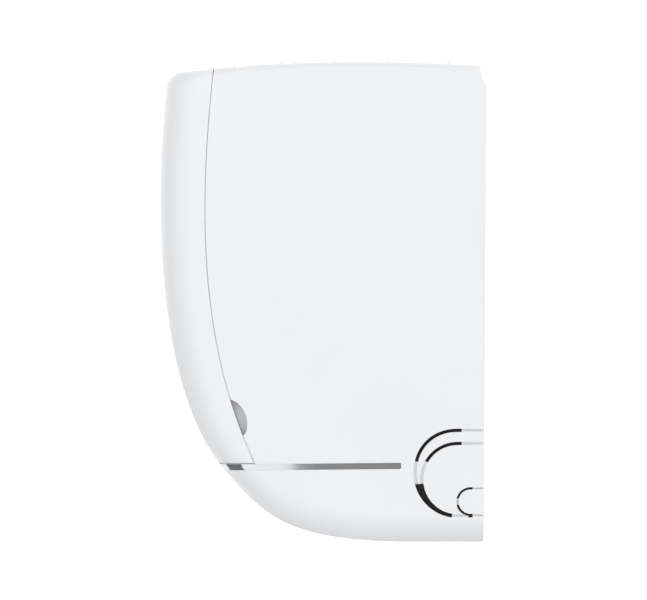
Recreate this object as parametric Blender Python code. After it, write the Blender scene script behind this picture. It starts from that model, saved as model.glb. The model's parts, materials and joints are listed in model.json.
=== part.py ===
"""Indoor unit of a wall-mounted split air conditioner, built as an assembly of separate solids.

Lengths in this file are in millimetres and are turned into metres where a mesh is made. A place is given by
x, the distance along the unit to the right; out, the distance from the wall; and up, the height above the
underside. The world origin is on the wall, at the middle of the wall plate's back: +X runs along the unit,
+Y points into the wall and +Z points up.
"""

import math

import bmesh
import bpy
from mathutils import Matrix, Vector
from mathutils.geometry import interpolate_bezier

MM = 0.001

# Driving dimensions of the casing.
LENGTH = 820
HEIGHT = 290
DEPTH = 197
ORIGIN_UP = 165
WALL = 2.5
END_ROUNDING = 22
END_RINGS = 5
FIT = 0.3
SHARP_ANGLE = 35

# The casing's section, as one outline of cubic curves: top, front corner, front, and the curved underside.
TOP_CURVE = ((4.2, 287.4), (64.2, 290.8), (121, 291), (181.8, 283.7))
CORNER_CURVE = ((181.8, 283.7), (188.5, 283.1), (192.8, 279.5), (193.2, 273))
FRONT_CURVE = ((193.2, 273), (204, 167.3), (190.1, 80.4), (158, 43.6))
UNDER_CURVE = ((158, 43.6), (134.3, 16.4), (121.4, 0), (44.6, 0))
BACK_POINTS = ((1.8, 0), (0, 273.6))

# The flat end face is the same outline drawn in by the rounding of each edge.
END_TOP_CURVE = ((4.1, 283.2), (62, 286.6), (116, 286.8), (163, 280.6))
END_CORNER_CURVE = ((163, 280.6), (168.7, 279.9), (172.6, 276.4), (173.2, 270))
END_FRONT_CURVE = ((173.2, 270), (184, 167), (171.6, 86.5), (143.7, 56.2))
END_UNDER_CURVE = ((143.7, 56.2), (126.6, 36.6), (112, 16.5), (44.6, 16.5))
END_BACK_POINTS = ((1.7, 16.5), (0, 273.4))

# The line where the front panel meets the case, and the trim strip below it.
PARTING_CURVE = ((163.9, 285.6), (171.1, 218.2), (176.7, 126.3), (138.9, 47.4))
PANEL_GAP = 1.0
PANEL_BOTTOM = 48.5
STRIP_BOTTOM = 43.9
STRIP_TOP = 47.5
STRIP_BACK = 51.6
STRIP_THICK = 1.2
GROOVE_DEPTH = 1.5
HINGE = (153, 282)

# The air path: coil, fan, volute, duct, louvre.
FAN_CENTRE = (88, 115)
FAN_RADIUS = 46
FAN_ENDS = (-340, 278)
FAN_MIDDLE = -31
BLADES = 35
VOLUTE_CURVE = ((45, 146), (23, 106), (44, 52), (80, 14))
CHASSIS_ENDS = (-347.5, 285.5)
COIL_ENDS = (-343, 268)
COIL_THICK = 22
OUTLET_SPAN = (0.073, 0.785)
OUTLET_HALF = 372
LOUVRE_SPAN = (0.088, 0.768)
LOUVRE_HALF = 370.5
LOUVRE_AXIS = (104, 15)
FLOW = (0.465, -0.885)
CHORD = (0.885, 0.465)
VANE_PIVOT = 34
VANE_PITCH = 50
VANE_BANKS = {"left": -320, "right": 10}
VANES_PER_BANK = 6
VANE_SWING = 11
ROD_REACH = 10

# The intake: ribs along the top, the filter frame behind the panel, and the coil's three slabs.
RIB_OUTS = (151.9, 123.7, 92.2, 59.5, 22.7)
PANEL_RIB_OUT = 166.6
RIB_RADIUS = 1.4
FRAME_CURVE = ((156.5, 44), (190, 120), (180, 225), (113, 268))
FRAME_THICK = 2
FRAME_HALF = 383
FILTER_GAP = 3
FILTER_THICK = 2.5
FILTER_SPANS = {"left": (-345, -36), "right": (-30, 274)}
COIL_SLABS = {
    "front": ((150, 82), (158, 158)),
    "upper": ((151, 172), (99, 256)),
    "rear": ((78, 254), (34, 196)),
}
TUBES_PER_SLAB = 4
TUBE_RADIUS = 3.5

# Pieces of the right-hand and rear compartments.
ARM_PLACES = {"left": -250, "right": 250}
GAS_PIPE = (22, 42)
GAS_RADIUS = 4.8
LIQUID_PIPE = (36, 24)
LIQUID_RADIUS = 3.2
PIPE_DROP_X = 333
PIPE_END_X = -150
DRAIN_PLACE = (153.6, 72)
SPIGOT_RADIUS = 6.4
SPIGOT_BORE = 4.9
SCREW_PLACES = (-330, -30, 270)
SCREW_UP = 61
BUTTON_PLACE = (330, 90)
BUTTON_RADIUS = 5
BOX_LOW = (341, 40, 64)
BOX_HIGH = (378, 138, 214)
BOX_WALL = 2
HOOK_PLACES = (-200, 200)


def at(x, out, up):
    """The world position, in metres, of a place given in millimetres."""
    return Vector((x, -out, up - ORIGIN_UP)) * MM


def clear_scene():
    for thing in list(bpy.data.objects):
        bpy.data.objects.remove(thing, do_unlink=True)


def material(name, color, roughness, metallic=0.0):
    look = bpy.data.materials.new(name)
    look.use_nodes = True
    shader = look.node_tree.nodes["Principled BSDF"]
    shader.inputs["Base Color"].default_value = (*color, 1)
    shader.inputs["Roughness"].default_value = roughness
    shader.inputs["Metallic"].default_value = metallic
    return look


# ---------------------------------------------------------------- shapes


def bezier(curve, steps):
    knots = [Vector(point) for point in curve]
    return [tuple(point) for point in interpolate_bezier(knots[0], *knots[1:3], knots[3], steps + 1)]


def along(curve, t):
    """The point at parameter t of a cubic curve."""
    a, b, c, d = (Vector(point) for point in curve)
    s = 1 - t
    return a * s**3 + b * 3 * s * s * t + c * 3 * s * t * t + d * t**3


def arc(centre, radius, start, end, steps):
    """Points of an arc in (out, up), with angles in degrees from the outward direction."""
    angles = [math.radians(start + (end - start) * step / steps) for step in range(steps + 1)]
    return [(centre[0] + radius * math.cos(a), centre[1] + radius * math.sin(a)) for a in angles]


def circle(centre, radius, sides):
    return arc(centre, radius, 0, 360 * (sides - 1) / sides, sides - 1)


def offset(outline, distance):
    """The points of an open outline moved to their left by distance; a negative one moves them right."""
    moved = []
    for index, point in enumerate(outline):
        before = Vector(outline[max(index - 1, 0)])
        after = Vector(outline[min(index + 1, len(outline) - 1)])
        direction = (after - before).normalized()
        moved.append((point[0] - direction.y * distance, point[1] + direction.x * distance))
    return moved


def band(line, thickness):
    """A closed outline that follows an open line, with the thickness added on its left."""
    return list(line) + offset(line, thickness)[::-1]


def box_outline(low, high):
    return [(low[0], low[1]), (high[0], low[1]), (high[0], high[1]), (low[0], high[1])]


def finish(name, bm, look, pivot=None):
    """Makes an object from a bmesh that is in its world place, with the object's origin on pivot."""
    bmesh.ops.recalc_face_normals(bm, faces=bm.faces)
    origin = pivot if pivot is not None else Vector((0, 0, 0))
    bmesh.ops.translate(bm, verts=bm.verts, vec=-origin)
    mesh = bpy.data.meshes.new(name)
    bm.to_mesh(mesh)
    bm.free()
    mesh.materials.append(look)
    thing = bpy.data.objects.new(name, mesh)
    thing.location = origin
    bpy.context.scene.collection.objects.link(thing)
    return thing


def loft(name, rings, look, pivot=None):
    """A closed body through rings of the same number of points, with flat ends."""
    bm = bmesh.new()
    loops = [[bm.verts.new(point) for point in ring] for ring in rings]
    for first, second in zip(loops, loops[1:]):
        for index in range(len(first)):
            following = (index + 1) % len(first)
            bm.faces.new((first[index], first[following], second[following], second[index]))
    bm.faces.new(loops[0])
    bm.faces.new(loops[-1])
    return finish(name, bm, look, pivot)


def smooth(thing):
    """Shades a loft smooth, but for its sharp edges and its two flat ends, which are its last faces."""
    thing.data.shade_smooth()
    for end in thing.data.polygons[-2:]:
        end.use_smooth = False
    thing.data.set_sharp_from_angle(angle=math.radians(SHARP_ANGLE))
    return thing


def prism(name, outline, x_start, x_end, look, pivot=None):
    """An (out, up) outline carried along the unit from x_start to x_end."""
    rings = [[at(x, *point) for point in outline] for x in (x_start, x_end)]
    return loft(name, rings, look, pivot)


def block(name, low, high, look, pivot=None):
    """A box between two (x, out, up) corners."""
    return prism(name, box_outline(low[1:], high[1:]), low[0], high[0], look, pivot)


def rod(name, start, end, radius, sides, look, pivot=None):
    """A cylinder between two (x, out, up) places."""
    base, tip = at(*start), at(*end)
    turn = (tip - base).to_track_quat("Z", "Y")
    angles = [2 * math.pi * side / sides for side in range(sides)]
    rim = [turn @ Vector((math.cos(a), math.sin(a), 0)) * radius * MM for a in angles]
    return smooth(loft(name, [[centre + point for point in rim] for centre in (base, tip)], look, pivot))


def axle(name, x_start, x_end, place, radius, sides, look):
    """A cylinder that lies along the unit at an (out, up) place."""
    return rod(name, (x_start, *place), (x_end, *place), radius, sides, look)


def pipe(name, places, radius, look, sides=8):
    """A bent tube along (x, out, up) places, with closed ends."""
    curve = bpy.data.curves.new(name, "CURVE")
    curve.dimensions = "3D"
    curve.bevel_depth = radius * MM
    curve.bevel_resolution = sides // 2 - 2
    curve.use_fill_caps = True
    spline = curve.splines.new("POLY")
    spline.points.add(len(places) - 1)
    for point, place in zip(spline.points, places):
        point.co = (*at(*place), 1)
    curve.materials.append(look)
    thing = bpy.data.objects.new(name, curve)
    bpy.context.scene.collection.objects.link(thing)
    return thing


def combine(thing, helper, operation):
    """Adds a Boolean to thing and turns the other operand into a hidden helper."""
    modifier = thing.modifiers.new(helper.name, "BOOLEAN")
    modifier.operation = operation
    modifier.solver = "EXACT"
    modifier.object = helper
    helper.hide_render = True
    helper.display_type = "WIRE"
    return thing


def cut(thing, *helpers):
    for helper in helpers:
        combine(thing, helper, "DIFFERENCE")
    return thing


def join(thing, *helpers):
    for helper in helpers:
        combine(thing, helper, "UNION")
    return thing


# ---------------------------------------------------------------- casing


def casing_line(curves, back, steps=(8, 4, 14, 10)):
    """An outline from the bottom rear corner up the back, along the top, down the front and under."""
    line = list(back) + bezier(curves[0], steps[0])
    for curve, count in zip(curves[1:], steps[1:]):
        line += bezier(curve, count)[1:]
    return line


def inset_outline(line, inset):
    """The outline drawn in by inset."""
    return offset([line[-1]] + line + [line[0]], -inset)[1:-1]


def open_back(line, inset, low):
    """Carries an inner outline out through the back, below the bevelled top rear corner."""
    return [(-6, low), (-6, 272.5), (inset, 272.5)] + line[2:]


def casing_body(name, inset, look):
    """The casing as one solid, rounded into its ends, with its faces drawn in by inset."""
    section = casing_line((TOP_CURVE, CORNER_CURVE, FRONT_CURVE, UNDER_CURVE), BACK_POINTS)
    curves = (END_TOP_CURVE, END_CORNER_CURVE, END_FRONT_CURVE, END_UNDER_CURVE)
    flat_end = casing_line(curves, END_BACK_POINTS)
    if inset:
        section = open_back(inset_outline(section, inset), inset, inset)
        flat_end = open_back(inset_outline(flat_end, inset), inset, END_BACK_POINTS[0][1] + inset)
    stations = []
    for ring in range(END_RINGS):
        angle = math.pi / 2 * ring / (END_RINGS - 1)
        drop = (END_ROUNDING - inset) * (1 - math.cos(angle))
        stations.append((LENGTH / 2 - inset - drop, math.sin(angle)))
    rings = []
    for x, share in [(-x, share) for x, share in stations] + stations[::-1]:
        rings.append([at(x, *Vector(a).lerp(Vector(b), share)) for a, b in zip(flat_end, section)])
    return smooth(loft(name, rings, look))


def hollow_casing(name, look):
    return cut(casing_body(name, 0, look), casing_body(name + "_hollow", WALL, look))


def full_length(name, outline, look):
    """A prism that runs past both ends of the casing."""
    return prism(name, outline, -LENGTH / 2 - 5, LENGTH / 2 + 5, look)


def panel_zone(name, gap, bottom, look):
    """Everything that lies in front of the parting line by more than gap, and above bottom."""
    line = [(out + gap, up) for out, up in bezier(PARTING_CURVE, 14) if up > bottom]
    foot = along(PARTING_CURVE, 0.995)
    above, ahead = HEIGHT + 12, DEPTH + 12
    corners = [(foot.x + gap, bottom), (ahead, bottom), (ahead, above), (line[0][0], above)]
    return full_length(name, line + corners, look)


def groove_cutter(look):
    """The groove that the trim strip lies in."""
    low, high = (STRIP_BACK - FIT, STRIP_BOTTOM - FIT), (230, STRIP_TOP + FIT)
    groove = full_length("groove", box_outline(low, high), look)
    return cut(groove, casing_body("groove_bottom", GROOVE_DEPTH, look))


def outlet_cutter(look):
    """The slot that the air leaves by, cut square to the skin at its front and rear edges."""
    corners = []
    for t in OUTLET_SPAN:
        edge = along(UNDER_CURVE, t)
        direction = (along(UNDER_CURVE, t + 0.02) - edge).normalized()
        outward = Vector((-direction.y, direction.x)) * 7
        corners.append((tuple(edge + outward), tuple(edge - outward)))
    (front_outer, front_inner), (rear_outer, rear_inner) = corners
    outline = [front_outer, (145, -12), rear_outer, rear_inner, front_inner]
    return prism("outlet", outline, -OUTLET_HALF, OUTLET_HALF, look)


def slot(centre, radius, half, start, end, steps, straight_to=None):
    """A curved slot's outline; straight_to carries its last end straight back towards the wall."""
    outer = arc(centre, radius + half, start, end, steps)
    inner = arc(centre, radius - half, start, end, steps)
    if straight_to is not None:
        outer.append((straight_to, outer[-1][1]))
        inner.append((straight_to, inner[-1][1]))
    return outer + inner[::-1]


def knock_out_cutters(side, look):
    """The slots round the pipe knock-outs of one end wall: right through, but for their thin webs."""
    outer, inner, small = (17.3, 41.9), (17.5, 38.1), (9.8, 24.9)
    half = 0.85
    through = {
        "outer_arc": slot(outer, 25.8, half, 15.7, 90, 7, 15.2),
        "inner_arc": slot(inner, 21.7, half, 29.8, 90, 6, 15.2),
        "crescent": arc(outer, 25.8 + half, -14.1, -81.8, 8) + arc(inner, 21.7 - half, -80.8, -6.6, 8),
        "small_top": slot(small, 8, 0.6, 14, 90, 4, 8.6),
        "small_low": slot(small, 8, 0.6, -14, -80, 4),
        "corner": box_outline((8.6, 15.4), (11.2, 17.6)),
    }
    webs = {
        "outer_web": slot(outer, 25.8, half, -16, 18, 3),
        "inner_web": slot(inner, 21.7, half, -9, 33, 3),
        "small_web": slot(small, 8, 0.6, -17, 17, 2),
        "bottom_web": box_outline((11.0, 15.8), (21.4, 17.2)),
        "outer_line": box_outline((-1, 66.9), (16, 68.5)),
        "inner_line": box_outline((-1, 59.0), (16, 60.6)),
        "small_line": box_outline((-1, 32.4), (9.2, 33.4)),
        "bottom_line": box_outline((-1, 16.2), (8.8, 17.2)),
    }
    made = []
    for depth, outlines in ((6, through), (1.1, webs)):
        ends = sorted((side * (LENGTH / 2 - depth), side * (LENGTH / 2 + 2)))
        made += [prism(f"{name}_{side}", outline, *ends, look) for name, outline in outlines.items()]
    return made


def notch_cutter(side, look):
    """The half-moon beside the parting line where a finger gets behind the panel."""
    outline = [(157, 86), (151.6, 85.9), (148, 83.7), (145.2, 78.4), (143.8, 71.7), (144.6, 66.4),
               (147, 63.8), (151, 63.4)]
    return prism(f"notch_{side}", outline, *sorted((side * 403, side * 415)), look)


def notch_pocket(side, look):
    """A thick place behind the end wall, which gives the finger notch its floor."""
    ends = sorted((side * 401.5, side * 409))
    pocket = block(f"pocket_{side}", (ends[0], 138, 58), (ends[1], 156, 91), look)
    return cut(pocket, panel_zone(f"pocket_limit_{side}", -0.4, STRIP_TOP, look))


def top_windows(look):
    """The intake openings between the lengthwise ribs of the top."""
    columns, pitch, bar = 5, 156, 7
    made = []
    for ahead, behind in zip(RIB_OUTS, RIB_OUTS[1:]):
        for column in range(columns):
            x = (column - columns / 2) * pitch + bar / 2
            low, high = (x, behind + 4, 272), (x + pitch - bar, ahead - 4, 296)
            made.append(block(f"window_{ahead}_{column}", low, high, look))
    return made


def rib(name, out, half_length, look):
    """A half-round rib that stands a little above the top."""
    top = min(bezier(TOP_CURVE, 60), key=lambda point: abs(point[0] - out))[1]
    return prism(name, circle((out, top - 0.35), RIB_RADIUS, 8), -half_length, half_length, look)


def frame_line():
    return bezier(FRAME_CURVE, 16)


def frame_windows(look):
    """The air openings of the filter frame."""
    made = []
    for row, (low, high) in enumerate(((96, 172), (178, 254))):
        for column in range(4):
            x = -342 + column * 154
            made.append(block(f"frame_window_{row}_{column}", (x, 118, low), (x + 147, 190, high), look))
    return made


def filter_frame(look):
    """The moulded frame behind the panel: filter grid, its ends, the front beam and outlet cheeks."""
    front = frame_line()
    frame = prism("filter_frame", band(front, FRAME_THICK), -FRAME_HALF, FRAME_HALF, look)
    cut(frame, *frame_windows(look))
    x, up = BUTTON_PLACE
    cut(frame, rod("button_hole", (x, 160, up), (x, 180, up), BUTTON_RADIUS + 0.4, 14, look))
    for x in SCREW_PLACES:
        cut(frame, rod("screw_hole", (x, 155, SCREW_UP), (x, 172, SCREW_UP), 2.4, 8, look))
        cut(frame, rod("head_recess", (x, 161.7, SCREW_UP), (x, 172, SCREW_UP), 3.6, 12, look))
    rear_of_parting = [(out - 0.8, up) for out, up in bezier(PARTING_CURVE, 14)][::-1]
    side = [point for point in front if point[1] < 190]
    side += [point for point in rear_of_parting if point[1] > 194]
    side += [(130, 287), (130, 44)]
    flange = band(rear_of_parting, WALL)
    cheek = [(85.5, -2), (85.5, 36), (96, 44), (150, 46), (162, 44), (162, -2)]
    for sign in (-1, 1):
        side_ends = sorted((sign * (FRAME_HALF - 1), sign * (FRAME_HALF + 1.5)))
        join(frame, prism("frame_side", side, *side_ends, look))
        join(frame, prism("frame_flange", flange, *sorted((sign * FRAME_HALF, sign * 408.7)), look))
        cheek_ends = sorted((sign * (OUTLET_HALF + 0.5), sign * (OUTLET_HALF + 3)))
        join(frame, prism("cheek", cheek, *cheek_ends, look))
    join(frame, block("front_beam", (-FRAME_HALF - 1, 157.5, 268), (FRAME_HALF + 1, 160, 287), look))
    for x in ARM_PLACES.values():
        lug = block("hinge_lug", (x + 2.7, 149.5, 277.5), (x + 5.7, 158.5, 287), look)
        join(frame, lug)
    return combine(frame, casing_body("frame_limit", 2, look), "INTERSECT")


def hinge_cutters(look):
    """The slots that the panel's arms swing through, and the holes that their pins turn in."""
    made = []
    for x in ARM_PLACES.values():
        made.append(block("arm_slot", (x - 2.5, 148.6, 274), (x + 2.5, 170, 296), look))
        made.append(axle("pin_hole", x + 1, x + 7, HINGE, 1.8, 12, look))
    return made


def outer_case(look):
    """The moulded case: end walls, slotted top, chin and underside, with the filter frame inside."""
    case = hollow_casing("outer_case", look)
    cut(case, panel_zone("case_front", 0, STRIP_TOP + 0.1, look), groove_cutter(look), outlet_cutter(look))
    for out in RIB_OUTS:
        join(case, rib("rib", out, 384, look))
    cut(case, *top_windows(look))
    join(case, filter_frame(look))
    for side in (-1, 1):
        join(case, notch_pocket(side, look))
        cut(case, notch_cutter(side, look), *knock_out_cutters(side, look))
        ends = side * (OUTLET_HALF - 1), side * (OUTLET_HALF + 5)
        cut(case, axle("cheek_hole", *ends, LOUVRE_AXIS, 6.3, 14, look))
        reliefs = sorted((side * 396, side * 401))
        cut(case, block("channel_relief", (reliefs[0], 60, 6.8), (reliefs[1], 84.5, 10), look))
    return cut(case, *hinge_cutters(look))


def front_panel(look, pivot):
    """The curved panel that swings up to reach the filters."""
    panel = casing_body("front_panel", 0, look)
    panel.data.transform(Matrix.Translation(-pivot))
    panel.location = pivot
    cut(panel, casing_body("panel_hollow", WALL, look))
    combine(panel, panel_zone("panel_limit", PANEL_GAP, PANEL_BOTTOM, look), "INTERSECT")
    return join(panel, rib("panel_rib", PANEL_RIB_OUT, 384, look))


def panel_arm(side, x, look, pivot):
    """A hooked hinge arm, which reaches from its pin under the top to the inside of the panel."""
    outline = [(150.8, 280.4), (150.8, 283), (153, 284.2), (164, 282.2), (176, 280.9), (184, 279.6),
               (188, 276), (189.6, 271), (189.6, 258), (185, 258), (184.5, 270), (180, 275.6), (164, 277.4),
               (154, 279)]
    arm = prism(f"panel_arm_{side}", outline, x - 1.5, x + 1.5, look, pivot)
    return join(arm, axle("arm_pin", x + 0.5, x + 6, HINGE, 1.5, 12, look))


def trim_strip(look):
    """The bright strip in its groove, round the chin and back along both ends."""
    zone = [(230, STRIP_TOP), (230, STRIP_BOTTOM)] + arc((STRIP_BACK + 1.8, 45.7), 1.8, 270, 90, 6)
    strip = full_length("trim_strip", zone, look)
    combine(strip, casing_body("strip_outside", 0, look), "INTERSECT")
    return cut(strip, casing_body("strip_inside", STRIP_THICK, look))


# ---------------------------------------------------------------- chassis, drain and wall plate


def wall_plate(look):
    """The pressed steel plate that is screwed to the wall, with folded edges and two hooks."""
    plate = block("wall_plate", (-300, 0, 72), (300, 1.2, 260), look)
    for low, high in ((258.9, 260.1), (71.9, 73.1)):
        join(plate, block("plate_edge", (-298, 0.6, low), (298, 6, high), look))
    for x in HOOK_PLACES:
        join(plate, block("hook_arm", (x - 12, 0.6, 239), (x + 12, 14, 240.5), look))
        join(plate, block("hook_lip", (x - 12, 12.5, 239.3), (x + 12, 13.9, 248), look))
    for x in (-240, -80, 80, 240):
        for up in (90, 225):
            cut(plate, rod("plate_hole", (x, -1, up), (x, 3, up), 3, 8, look))
    return plate


def volute_line():
    return bezier(VOLUTE_CURVE, 14)


def rear_chassis(look):
    """The moulded back: rear drain trough, volute behind the fan, fan cheeks, back wall, motor cradle."""
    volute = volute_line()
    back = [(8.4, 266), (8.4, 169), (41, 169)] + offset(volute, -WALL) + [(77.4, 5.6)]
    front = [(80, 5.6)] + volute[::-1] + [(47, 166), (55, 184), (52.6, 185), (45.5, 171.5), (10.5, 171.5)]
    front.append((10.5, 266))
    left, right = CHASSIS_ENDS
    chassis = prism("rear_chassis", back + front, left, right, look)
    cheek = volute + [(84, 33), (93, 37), (142, 44), (150, 46), (157.5, 62), (162, 78.5), (136, 92)]
    cheek += [(137, 150), (120, 166), (46, 166)]
    for low, high in ((left - 0.7, left + 2.5), (right - 2.5, right + 0.7)):
        join(chassis, prism("fan_cheek", cheek, low, high, look))
    join(chassis, block("back_wall", (-392, 8.2, 166), (392, 10.7, 268), look))
    cradle = block("motor_cradle", (300, 8.8, 62), (326, 84, 168), look)
    join(chassis, cut(cradle, axle("cradle_hollow", 298, 328, FAN_CENTRE, 42.4, 24, look)))
    cut(chassis, axle("shaft_holes", left - 4, right + 4, FAN_CENTRE, 9, 14, look))
    cut(chassis, axle("drain_holes", left - 4, right + 4, DRAIN_PLACE, SPIGOT_RADIUS + 0.5, 14, look))
    for x in HOOK_PLACES:
        cut(chassis, block("hook_slot", (x - 15, 6, 236.5), (x + 15, 12, 251), look))
    return chassis


def drain_pan(look):
    """The front drain trough, moulded in one with the stabiliser and the front wall of the outlet duct."""
    left, right = CHASSIS_ENDS[0] + 2.9, CHASSIS_ENDS[1] - 2.9
    wall_and_trough = [(131, 90), (150, 43), (152.4, 44), (144.2, 64), (160, 64), (164.2, 79), (161.7, 79),
                       (157.6, 66.5), (143.2, 66.5), (133.4, 91)]
    pan = prism("drain_pan", wall_and_trough, left, right, look)
    trough_end = [(144.5, 64.6), (159.2, 64.6), (162.8, 78.6), (139.2, 78.6)]
    for x in (left + 0.2, right - 2.7):
        join(pan, prism("trough_end", trough_end, x, x + 2.5, look))
    for x in SCREW_PLACES:
        boss = block("screw_boss", (x - 5, 144.2, 56), (x + 5, 152, 65), look)
        join(pan, boss)
        cut(pan, rod("boss_hole", (x, 146.8, SCREW_UP), (x, 154, SCREW_UP), 2.3, 8, look))
    return pan


def drain_spigot(look):
    """The spout at the trough's left end that a drain hose pushes onto."""
    start = CHASSIS_ENDS[0] + 2.5
    spigot = axle("drain_spigot", start, start - 32, DRAIN_PLACE, SPIGOT_RADIUS, 16, look)
    return cut(spigot, axle("spigot_bore", start + 3, start - 36, DRAIN_PLACE, SPIGOT_BORE, 16, look))


def drain_plug(look):
    start = CHASSIS_ENDS[1] - 2.5
    plug = axle("drain_plug", start, start + 12, DRAIN_PLACE, SPIGOT_RADIUS, 14, look)
    return join(plug, axle("plug_head", start + 11, start + 15, DRAIN_PLACE, SPIGOT_RADIUS + 2.2, 14, look))


# ---------------------------------------------------------------- fan


def blade_outline(index):
    """A blade's section, leaning forward from its inner to its outer edge."""
    front, rear = [], []
    for radius, lead in ((37, 0), (45.2, 9)):
        angle = math.radians(360 * index / BLADES + lead)
        half = 0.7 / radius
        front.append((radius * math.cos(angle + half), radius * math.sin(angle + half)))
        rear.append((radius * math.cos(angle - half), radius * math.sin(angle - half)))
    return front + rear[::-1]


def face_with_holes(bm, loops):
    """Fills the flat face between the first loop of vertices and the loops inside it."""
    edges = []
    for loop in loops:
        for first, second in zip(loop, loop[1:] + loop[:1]):
            edges.append(bm.edges.get((first, second)) or bm.edges.new((first, second)))
    bmesh.ops.triangle_fill(bm, use_beauty=True, edges=edges)


def tunnel(bm, first, second):
    """Joins two loops of the same number of vertices with a band of faces."""
    for index in range(len(first)):
        following = (index + 1) % len(first)
        bm.faces.new((first[index], first[following], second[following], second[index]))


def crossflow_fan(look, pivot):
    """The cross-flow fan: three discs joined by rows of curved blades, with a stub shaft at each end."""
    disc, thick = circle((0, 0), FAN_RADIUS, 40), 3
    bm = bmesh.new()

    def loop(outline, x):
        return [bm.verts.new(at(x, FAN_CENTRE[0] + a, FAN_CENTRE[1] + b)) for a, b in outline]

    left, right = FAN_ENDS
    discs = ((left, left + thick), (FAN_MIDDLE, FAN_MIDDLE + thick), (right - thick, right))
    roots = []
    for number, ends in enumerate(discs):
        rims = [loop(disc, x) for x in ends]
        tunnel(bm, *rims)
        for rim, x, plain in zip(rims, ends, (number == 0, number == 2)):
            blades = [] if plain else [loop(blade_outline(index), x) for index in range(BLADES)]
            face_with_holes(bm, [rim] + blades)
            if blades:
                roots.append(blades)
    for first, second in ((roots[0], roots[1]), (roots[2], roots[3])):
        for blade, other in zip(first, second):
            tunnel(bm, blade, other)
    fan = finish("crossflow_fan", bm, look, pivot)
    join(fan, axle("left_stub", left + 1, left - 14, FAN_CENTRE, 4, 12, look))
    return join(fan, axle("right_stub", right - 1, right + 4, FAN_CENTRE, 6, 12, look))


def fan_motor(look):
    motor = axle("fan_motor", 290, 337, FAN_CENTRE, 42, 28, look)
    return join(motor, axle("motor_shaft", 282.5, 292, FAN_CENTRE, 5, 12, look))


def motor_clamp(look):
    """The strap that holds the motor in its cradle."""
    strap = arc(FAN_CENTRE, 42.5, -92, 92, 14)
    clamp = prism("motor_clamp", band(strap, -2.2), 304, 322, look)
    for low, high in ((62.5, 72.4), (157.6, 167.5)):
        join(clamp, block("clamp_ear", (304.5, 84.4, low), (321.5, 87.6, high), look))
    return clamp


def fan_bearing_mount(look):
    """The plate that carries the bearing of the fan's left stub."""
    inner = CHASSIS_ENDS[0] - 1.1
    mount = block("fan_bearing_mount", (inner - 7, 70, 97), (inner, 106, 133), look)
    return cut(mount, axle("bearing_bore", inner - 9, inner + 2, FAN_CENTRE, 4.4, 16, look))


# ---------------------------------------------------------------- coil and pipes


def tube_places(slab):
    """Where the tubes cross a slab, evenly spaced along its middle."""
    start, end = (Vector(point) for point in COIL_SLABS[slab])
    return [start.lerp(end, (index + 0.5) / TUBES_PER_SLAB) for index in range(TUBES_PER_SLAB)]


def coil_fins(slab, look):
    """One finned slab of the coil, with a hole for each tube."""
    start, end = (Vector(point) for point in COIL_SLABS[slab])
    direction = (end - start).normalized()
    across = Vector((-direction.y, direction.x)) * COIL_THICK / 2
    outline = [tuple(point) for point in (start + across, start - across, end - across, end + across)]
    fins = prism(f"coil_fins_{slab}", outline, *COIL_ENDS, look)
    for place in tube_places(slab):
        hole = axle("tube_hole", COIL_ENDS[0] - 2, COIL_ENDS[1] + 2, place, TUBE_RADIUS + 0.4, 10, look)
        cut(fins, hole)
    return fins


def coil_tube(slab, look):
    """The copper tube that runs to and fro through a slab, with a return bend at each turn."""
    places = tube_places(slab)
    bend = (places[1] - places[0]).length / 2
    left, right = COIL_ENDS[0] - 3, COIL_ENDS[1] + 2
    route = [(right + 6, *places[0])]
    for index, (here, there) in enumerate(zip(places, places[1:])):
        edge, sign = (left, -1) if index % 2 == 0 else (right, 1)
        middle = (here + there) / 2
        for step in range(7):
            angle = math.pi * step / 6
            place = middle + (here - middle) * math.cos(angle)
            route.append((edge + sign * bend * math.sin(angle), *place))
    route.append((right + 6, *places[-1]))
    return pipe(f"coil_tube_{slab}", route, TUBE_RADIUS, look)


def rounded(corners, radius):
    """The (x, out, up) corners of a bent pipe, with each inner corner turned into a quarter bend."""
    places = [Vector(corner) for corner in corners]
    route = [places[0]]
    for before, here, after in zip(places, places[1:], places[2:]):
        start = here + (before - here).normalized() * radius
        end = here + (after - here).normalized() * radius
        for step in range(6):
            t = step / 5
            route.append(start * (1 - t) ** 2 + here * 2 * t * (1 - t) + end * t * t)
    return [tuple(place) for place in route + [places[-1]]]


def refrigerant_pipe(name, place, radius, top, look):
    """A copper pipe that drops from the coil's right end and runs left along the channel at the back."""
    out, up = place
    corners = [(274, 52, top), (PIPE_DROP_X, out, top), (PIPE_DROP_X, out, up), (PIPE_END_X, out, up)]
    return pipe(name, rounded(corners, 16), radius, look)


def flare_nut(name, place, radius, look):
    start = PIPE_END_X - FIT
    return axle(name, start, start - 18, place, radius, 6, look)


def pipe_clamp(look):
    """The saddle that holds both pipes in the channel behind the volute."""
    clamp = block("pipe_clamp", (100, 12, 14), (120, 44, 54), look)
    for place, radius in ((GAS_PIPE, GAS_RADIUS), (LIQUID_PIPE, LIQUID_RADIUS)):
        cut(clamp, axle("clamp_hole", 98, 122, place, radius + 0.4, 12, look))
    return clamp


# ---------------------------------------------------------------- electrics


def control_box(look):
    inner_low = [low + BOX_WALL for low in BOX_LOW]
    inner_high = [BOX_HIGH[0] + 3, BOX_HIGH[1] - BOX_WALL, BOX_HIGH[2] - BOX_WALL]
    tray = block("control_box", BOX_LOW, BOX_HIGH, look)
    return cut(tray, block("tray_hollow", inner_low, inner_high, look))


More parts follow.
